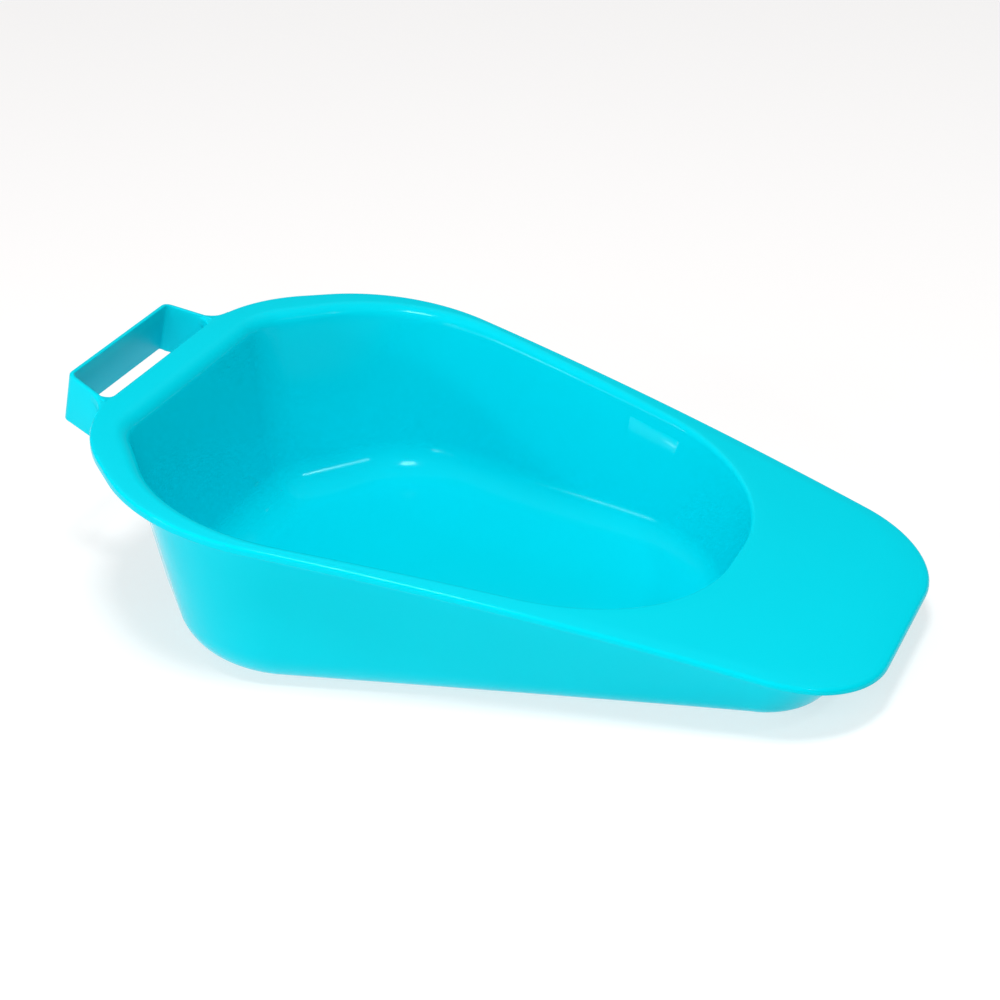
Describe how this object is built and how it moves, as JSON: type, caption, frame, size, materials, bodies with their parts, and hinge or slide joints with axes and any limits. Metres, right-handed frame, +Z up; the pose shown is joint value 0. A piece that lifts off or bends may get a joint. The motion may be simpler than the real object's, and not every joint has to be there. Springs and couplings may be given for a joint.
{
  "type": "bedpan",
  "caption": "Slipper bedpan with a handle at the tall end, a rounded bowl, a flanged rim and a low sloping apron that slides under a person lying down.",
  "frame": {"origin": "on the surface the pan stands on, below the middle of its overall length and width", "axes": "+X along the length towards the low front apron, +Y across to the left side, +Z up"},
  "size_m": [0.377, 0.257, 0.1005],
  "materials": {
    "bowl": "smooth moulded gloss",
    "deck": "smooth moulded gloss",
    "handle": "smooth moulded gloss"
  },
  "bodies": {
    "root": {"bowl_floor": "bowl", "bowl_wall": "bowl", "apron_skirt": "bowl", "rim_flange": "deck", "front_apron": "deck", "rim_lip": "deck", "handle_grip": "handle", "handle_arm_left": "handle", "handle_arm_right": "handle"}
  },
  "joints": []
}
